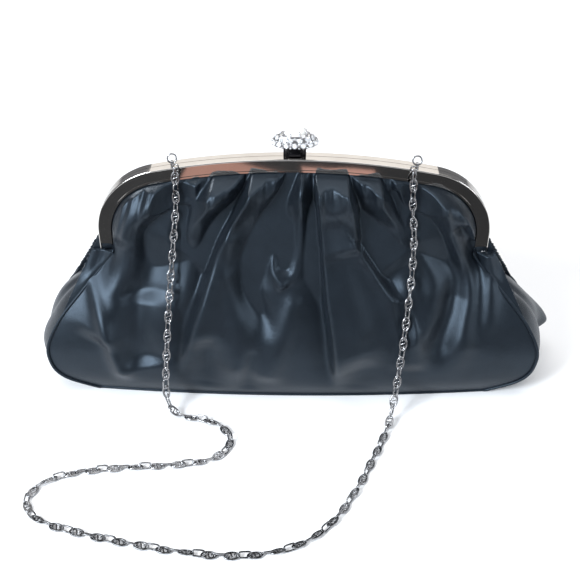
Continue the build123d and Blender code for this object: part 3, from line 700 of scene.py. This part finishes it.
for side, word in ((-1, "front"), (1, "back")):
    cord = seam_cord(word + "_seam_cord", side, 0.6, 0.8, 81.0 if side < 0 else 74.0)
    dress(cord, PIPING)
    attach(cord, "body")
    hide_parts(word + "_piping")

front_lining = panel("front_lining", -1, FRONT_FOLDS, 170, 80, 0.4, under=LINING_UNDER,
                     start=0.03, narrow=0.955)
back_lining = panel("back_lining", 1, BACK_FOLDS, 170, 80, 1.9, under=LINING_UNDER,
                    start=0.03, narrow=0.955)
for piece in (front_lining, back_lining):
    thicken(piece, LINING_THICK)
ring_lining = inner_ring()
for piece in (front_lining, back_lining, ring_lining):
    dress(piece, LINING)
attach(front_lining, "body")
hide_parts("lining_front_upper")
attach(ring_lining, "body")
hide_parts("lining_pouch")
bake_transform(back_lining)
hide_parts("lining_back_upper")

inner_pocket = pocket()
dress(inner_pocket, LINING)
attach(inner_pocket, "body")
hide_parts("slip_pocket")


# ---------------------------------------------------------------- frame and its small parts
FINISHES = (
    (FRAME, ("front_frame", "back_frame", "hinge_rivet_left", "hinge_rivet_right", "strike_plate")),
    (ENAMEL, ("clasp_lever", "clasp_bracket")),
    (SPRING, ("clasp_pin", "clasp_spring")),
    (CHAIN, ("jump_ring_left", "jump_ring_right", "chain_lug_left", "chain_lug_right",
             "end_bail_left", "end_bail_right")),
    (WADDING, ("front_padding", "back_padding")),
    (CARD, ("base_board",)),
    (PAPER, ("front_channel_cord", "back_channel_cord")),
)
for finish, cad_nodes in FINISHES:
    for cad_node in cad_nodes:
        dress_node(cad_node, finish)


# ---------------------------------------------------------------- the chain's line and links
def chain_line():
    """Points along the chain's own curve, in metres."""
    curve = bpy.data.curves.new("chain_route", "CURVE")
    curve.dimensions = "3D"
    spline = curve.splines.new("NURBS")
    spline.points.add(len(CHAIN_POINTS) - 1)
    for point, place in zip(spline.points, CHAIN_POINTS):
        point.co = (*[c * MM for c in place], 1)
    spline.order_u = 3
    spline.use_endpoint_u = True
    spline.resolution_u = 24
    holder = link(bpy.data.objects.new("chain_route", curve))
    mesh = bpy.data.meshes.new_from_object(holder)
    points = [v.co.copy() for v in mesh.vertices]
    bpy.data.objects.remove(holder)
    return points


def wire_loop(work, points, radius, place, closed=True, sides=7):
    """Sweep a round wire along points (a list of Vectors, mm) and set it into the chain by place."""
    count = len(points)
    rings = []
    for i, p in enumerate(points):
        if closed:
            ahead = points[(i + 1) % count] - points[i - 1]
        else:
            ahead = points[min(i + 1, count - 1)] - points[max(i - 1, 0)]
        ahead.normalize()
        up = Vector((0, 0, 1))
        if abs(ahead.dot(up)) > 0.95:
            up = Vector((0, 1, 0))
        across = ahead.cross(up).normalized()
        up = across.cross(ahead)
        ring = []
        for k in range(sides):
            a = 2 * math.pi * k / sides
            edge = p + across * radius * math.cos(a) + up * radius * math.sin(a)
            ring.append(work.verts.new(place @ edge))
        rings.append(ring)
    for i in range(count if closed else count - 1):
        one, two = rings[i], rings[(i + 1) % count]
        for k in range(sides):
            work.faces.new((one[k], one[(k + 1) % sides], two[(k + 1) % sides], two[k]))
    if not closed:
        work.faces.new(rings[0])
        work.faces.new(rings[-1][::-1])


def oval_points(length, width, count=26):
    """An oval in the XY plane, long way along X."""
    return [Vector((length / 2 * math.cos(2 * math.pi * i / count),
                    width / 2 * math.sin(2 * math.pi * i / count), 0)) for i in range(count)]


def bail_points(length, width, count=24):
    """A squarish loop that joins two scroll links."""
    def squared(value):
        return math.copysign(abs(value) ** 0.55, value)

    out = []
    for i in range(count):
        turn = 2 * math.pi * i / count
        out.append(Vector((length / 2 * squared(math.cos(turn)), width / 2 * squared(math.sin(turn)), 0)))
    return out


def scroll_points(reach, count=17):
    """The S-scroll that fills a link: two curled hooks that meet in the middle."""
    half = []
    for i in range(count):
        t = i / (count - 1)
        turn = math.pi * (1 + 1.75 * t)
        radius = reach * (1 - 0.66 * t)
        half.append(Vector((reach + radius * math.cos(turn), 1.12 * radius * math.sin(turn), 0)))
    return [Vector((-p.x, -p.y, 0)) for p in half[:0:-1]] + half


def chain_links(line):
    """Scroll links joined by small plain links, laid along the line one after another."""
    places = np.array([p / MM for p in line])
    steps = np.linalg.norm(np.diff(places, axis=0), axis=1)
    along = np.concatenate([[0], np.cumsum(steps)])
    total = along[-1]
    pitch = total / LINK_UNITS

    def point(s):
        return Vector([float(np.interp(s, along, places[:, k])) for k in range(3)])

    def seat(s, reach, roll):
        """Frame of one link: X along the chain, Z out of the bag or up off the table."""
        a, b = point(max(s - reach, 0)), point(min(s + reach, total))
        middle = (a + b) / 2
        ahead = (b - a).normalized()
        flat = min(max((9.0 - middle.z) / 6.0, 0), 1)
        out = Vector((0, -1, 0.35)).lerp(Vector((0, 0, 1)), flat)
        across = out.cross(ahead).normalized()
        out = ahead.cross(across)
        turn = Matrix.Rotation(roll, 3, ahead)
        across, out = turn @ across, turn @ out
        basis = Matrix((ahead, across, out)).transposed().to_4x4()
        basis.translation = middle
        return basis

    def settle(work, first, floor=0.25):
        """Drop a link of the table part onto the table."""
        made = work.verts[first:]
        low = min(v.co.z for v in made)
        mean = sum(v.co.z for v in made) / len(made)
        if mean < 6.5 and low > floor:
            for v in made:
                v.co.z -= (low - floor) * min((6.5 - mean) / 2.5, 1)

    work = bmesh.new()
    for i in range(LINK_UNITS):
        s = (i + 0.5) * pitch
        level = 0.30 if point(s).z < 5 else 0.20
        roll = rng.uniform(-level, level) * 1.4
        work.verts.ensure_lookup_table()
        first = len(work.verts)
        big = seat(s - 0.14 * pitch, 3.2, roll)
        wire_loop(work, oval_points(7.2, CHAIN_WIDTH - 2 * WIRE), WIRE, big)
        wire_loop(work, scroll_points(1.42), WIRE * 0.72, big, closed=False)
        work.verts.ensure_lookup_table()
        settle(work, first)
        first = len(work.verts)
        small = seat(s + 0.42 * pitch, 2.0, roll * 0.5 + rng.uniform(0.75, 1.15) * (1 if i % 2 else -1))
        wire_loop(work, bail_points(5.8, 3.0), WIRE * 0.9, small)
        work.verts.ensure_lookup_table()
        settle(work, first)
    for v in work.verts:
        v.co *= MM
    bmesh.ops.recalc_face_normals(work, faces=work.faces)
    obj = link(from_bmesh("chain_links", work))
    shade_smooth(obj.data)
    return obj


route = chain_line()
links = chain_links(route)
dress(links, CHAIN)
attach(links, "body")
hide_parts("chain")


# ---------------------------------------------------------------- the jewelled clasp
KNOB_Y, KNOB_FOOT, KNOB_WAIST, KNOB_TOP = 0.6, 143.2, 145.1, 149.4
STONE_FOOT, STONE_HALF, STONE_DEPTH, STONE_SIDES = 149.9, 5.9, 3.9, 14      # the large oval stone


def ellipse_rings(name, rows, count=96):
    """A closed solid of elliptical rings: (z, half length, half depth), bottom to top."""
    verts, faces = [], []
    for z, a, b in rows:
        for k in range(count):
            t = 2 * math.pi * k / count
            verts.append((a * math.cos(t) * MM, (KNOB_Y + b * math.sin(t)) * MM, z * MM))
    for r in range(len(rows) - 1):
        for k in range(count):
            one, two = r * count + k, r * count + (k + 1) % count
            faces.append((one, two, two + count, one + count))
    faces.append(tuple(range(count))[::-1])
    faces.append(tuple(range((len(rows) - 1) * count, len(rows) * count)))
    return new_mesh_object(name, verts, faces)


def bead(place, radius):
    """A small round grain of metal."""
    work = bmesh.new()
    bmesh.ops.create_icosphere(work, subdivisions=2, radius=radius * MM,
                               matrix=Matrix.Translation(place * MM))
    return from_bmesh("grain", work)


def brilliant(place, outward, radius):
    """A round brilliant-cut stone: table, crown facets, girdle and pavilion."""
    rings = [(0.42, 0.56, 0.0), (0.30, 0.80, 0.5), (0.06, 1.0, 0.0), (-0.06, 1.0, 0.0)]
    verts, faces = [], []
    for height, wide, shift in rings:
        for k in range(8):
            t = 2 * math.pi * (k + shift) / 8
            verts.append(Vector((wide * math.cos(t), wide * math.sin(t), height)) * radius)
    verts.append(Vector((0, 0, -0.7)) * radius)
    faces.append(tuple(range(8)))
    for k in range(8):
        n = (k + 1) % 8
        faces += [(k, k + 8, n), (n, k + 8, n + 8), (k + 8, k + 16, n + 16), (k + 8, n + 16, n + 8),
                  (k + 16, k + 24, n + 24, n + 16), (k + 24, 32, n + 24)]
    turn = outward.to_track_quat("Z", "Y").to_matrix().to_4x4()
    spin = Matrix.Rotation(rng.uniform(0, math.pi), 4, "Z")
    put = Matrix.Translation(place) @ turn @ spin
    return new_mesh_object("stone", [tuple((put @ v) * MM) for v in verts], faces, smooth=False)


def ellipse_row(count, z, a, b, shift):
    """Places and outward directions of a row of stones round the knob."""
    row = []
    for i in range(count):
        t = 2 * math.pi * (i + shift) / count
        out = Vector((math.cos(t) / a, math.sin(t) / b, 0)).normalized()
        row.append((Vector((a * math.cos(t), KNOB_Y + b * math.sin(t), z)), out))
    return row


def stone_seats():
    """Both rows of stones round the knob: place, the way each stone faces, its radius."""
    low_row = ellipse_row(16, KNOB_WAIST + 0.5, 11.3, 6.1, 0)
    high_row = ellipse_row(12, KNOB_WAIST + 2.8, 9.4, 5.0, 0.5)
    seats = []
    for row, lift, radius in ((low_row, 0.15, 1.34), (high_row, 0.55, 1.30)):
        for place, out in row:
            seats.append((place, (out + Vector((0, 0, lift))).normalized(), radius))
    return seats


def stone_cup(place, facing):
    """The thin round collar that holds one stone."""
    turn = Matrix.Translation(place) @ facing.to_track_quat("Z", "Y").to_matrix().to_4x4()
    work = bmesh.new()
    wire_loop(work, oval_points(2.72, 2.72, 20), 0.17, turn, sides=5)
    for v in work.verts:
        v.co *= MM
    return from_bmesh("cup", work)


def build_setting():
    """The knob's cup, with its rows of grains and the collars of its stones."""
    cup = ellipse_rings("clasp_cup", [
        (KNOB_FOOT, 8.6, 3.6), (KNOB_FOOT + 0.5, 9.8, 4.7), (KNOB_WAIST - 0.4, 10.9, 5.7),
        (KNOB_WAIST + 0.6, 11.1, 5.9), (KNOB_WAIST + 1.6, 10.4, 5.5), (KNOB_WAIST + 2.6, 9.3, 5.0),
        (KNOB_WAIST + 3.8, 8.1, 4.8), (KNOB_TOP, 6.8, 4.8)])
    grains = []
    # number, height over the waist, half length, half depth, shift, how far out, radius
    for count, rise, a, b, shift, proud, radius in (
            (16, 1.75, 11.0, 6.0, 0.5, 0.2, 0.52), (16, -0.75, 11.3, 6.1, 0.5, 0.05, 0.62),
            (32, -1.25, 10.5, 5.4, 0, 0, 0.48), (12, 4.2, 8.3, 4.8, 0, 0, 0.5)):
        for place, out in ellipse_row(count, KNOB_WAIST + rise, a, b, shift):
            grains.append(bead(place + out * proud, radius))
    collars = [stone_cup(place + facing * 0.02, facing) for place, facing, _ in stone_seats()]
    return join("clasp_setting", [cup] + grains + collars)


def build_gems():
    """The small stones, in one mesh with flat facets."""
    stones = [brilliant(place + facing * 0.15, facing, radius) for place, facing, radius in stone_seats()]
    gems = join("clasp_gems", stones)
    shade_smooth(gems.data, False)
    return gems


def build_crown_cup():
    """The large stone's oval rim with its eight claws, each a row of grains leaning in."""
    rim = ellipse_rings("crown_cup", [(149.35, 6.7, 4.7), (149.8, 6.9, 4.9), (150.3, 6.5, 4.5),
                                      (150.3, 5.6, 3.6)])
    claws = []
    for k in range(8):
        t = 2 * math.pi * (k + 0.5) / 8
        for step in range(6):
            rise = step / 5
            reach = 1 - 0.17 * rise ** 2
            claws.append(bead(Vector((6.35 * reach * math.cos(t), KNOB_Y + 4.35 * reach * math.sin(t),
                                      150.1 + 1.9 * rise)), 0.42))
    return join("crown_cup_and_claws", [rim] + claws)


def build_crown_stone():
    """The large oval stone: a straight girdle under two rows of facets and a flat table."""
    rows = [(0.2, 1.0, 0.0), (1.2, 1.0, 0.0), (2.2, 0.90, 0.5), (3.2, 0.72, 0.0), (3.8, 0.50, 0.5)]
    verts, faces = [], []
    for height, wide, shift in rows:
        for k in range(STONE_SIDES):
            t = 2 * math.pi * (k + shift) / STONE_SIDES
            verts.append((STONE_HALF * wide * math.cos(t) * MM,
                          (KNOB_Y + STONE_DEPTH * wide * math.sin(t)) * MM, (STONE_FOOT + height) * MM))
    for r in range(len(rows) - 1):
        here, there = rows[r][2], rows[r + 1][2]
        for k in range(STONE_SIDES):
            a, b = r * STONE_SIDES + k, r * STONE_SIDES + (k + 1) % STONE_SIDES
            c, d = a + STONE_SIDES, b + STONE_SIDES
            if here == there:
                faces.append((a, b, d, c))
            elif there > here:
                faces += [(a, b, c), (b, d, c)]
            else:
                faces += [(a, d, c), (a, b, d)]
    faces.append(tuple(range((len(rows) - 1) * STONE_SIDES, len(rows) * STONE_SIDES)))
    faces.append(tuple(range(STONE_SIDES))[::-1])
    return new_mesh_object("crown_stone", verts, faces, smooth=False)


for piece, material, node, name in ((build_setting(), SETTING, "clasp_dome", "silver_setting"),
                                    (build_gems(), CRYSTAL, "clasp_stones", "crystal"),
                                    (build_crown_cup(), SETTING, "crown_setting", "silver_setting"),
                                    (build_crown_stone(), CROWN, "crown_crystal", "crystal")):
    dress(piece, material)
    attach(piece, "clasp")
    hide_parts(node)


# ---------------------------------------------------------------- camera, table and light
CAMERA_PLACE, CAMERA_DOWN, CAMERA_ROLL, CAMERA_LENS = (-0.0018, -0.4516, 0.3811), 36, 0.5, 62.07
camera_data = bpy.data.cameras.new("camera")
camera_data.lens = CAMERA_LENS
camera_data.sensor_width = 36
camera_data.clip_start = 0.01
camera = link(bpy.data.objects.new("camera", camera_data))
camera.matrix_world = (Matrix.Translation(CAMERA_PLACE)
                       @ Matrix.Rotation(math.radians(90 - CAMERA_DOWN), 4, "X")
                       @ Matrix.Rotation(math.radians(CAMERA_ROLL), 4, "Z"))
bpy.context.scene.camera = camera

floor_mat, _, _, shader = new_material("table")
shader.inputs["Base Color"].default_value = (0.90, 0.90, 0.905, 1)
shader.inputs["Roughness"].default_value = 0.7
shader.inputs["Specular IOR Level"].default_value = 0.2
TABLE_REACH, TABLE_TOP = 30, -0.0002
floor = new_mesh_object("table", [(TABLE_REACH * a, TABLE_REACH * b, TABLE_TOP)
                                  for a, b in ((-1, -1), (1, -1), (1, 1), (-1, 1))],
                        [(0, 1, 2, 3)], smooth=False)
dress(floor, floor_mat)

world = bpy.data.worlds.new("studio")
bpy.context.scene.world = world
world.use_nodes = True
world.node_tree.nodes["Background"].inputs["Color"].default_value = (0.93, 0.95, 1.0, 1)
world.node_tree.nodes["Background"].inputs["Strength"].default_value = 0.30


def soft_light(name, place, target, size, power, tint=(1, 1, 1)):
    """A rectangular light aimed at a point."""
    data = bpy.data.lights.new(name, "AREA")
    data.shape = "RECTANGLE"
    data.size, data.size_y = size
    data.energy = power
    data.color = tint
    obj = link(bpy.data.objects.new(name, data))
    obj.location = place
    obj.rotation_euler = (Vector(target) - Vector(place)).to_track_quat("-Z", "Y").to_euler()


soft_light("overhead", (0, 0.15, 1.5), (0, 0, 0.06), (1.6, 1.2), 15)
soft_light("back_wall", (0, 1.3, 1.1), (0, 0, 0.08), (2.2, 0.8), 8, (1.0, 0.96, 0.90))
soft_light("left_window", (-0.8, -0.80, 0.75), (0, 0, 0.06), (0.40, 0.55), 26, (0.88, 0.94, 1.0))
soft_light("right_window", (1.1, -0.50, 0.55), (0, 0, 0.06), (0.35, 0.6), 6, (0.88, 0.94, 1.0))


def card(name, outline, z, color):
    """A card that only mirrors see: what stands in front of the bag in the studio."""
    obj = new_mesh_object(name, [(x, y, z) for x, y in outline], [(0, 1, 2, 3)], smooth=False)
    mat, _, _, face = new_material(name)
    face.inputs["Base Color"].default_value = color
    face.inputs["Roughness"].default_value = 0.9
    dress(obj, mat)
    obj.visible_camera = False
    obj.visible_diffuse = False
    obj.visible_shadow = False
    obj.visible_transmission = False


card("dark_card", [(-0.6, -0.30), (0.6, -0.30), (0.6, -0.118), (-0.6, -0.118)], 0.004,
     (0.012, 0.012, 0.013, 1))
card("warm_card_left", [(-0.075, -0.26), (0.000, -0.215), (-0.020, -0.178), (-0.090, -0.200)], 0.006,
     (0.42, 0.22, 0.17, 1))
card("warm_card_right", [(0.006, -0.235), (0.060, -0.225), (0.070, -0.186), (0.012, -0.192)], 0.006,
     (0.55, 0.30, 0.24, 1))

bpy.context.scene.view_settings.view_transform = "Standard"
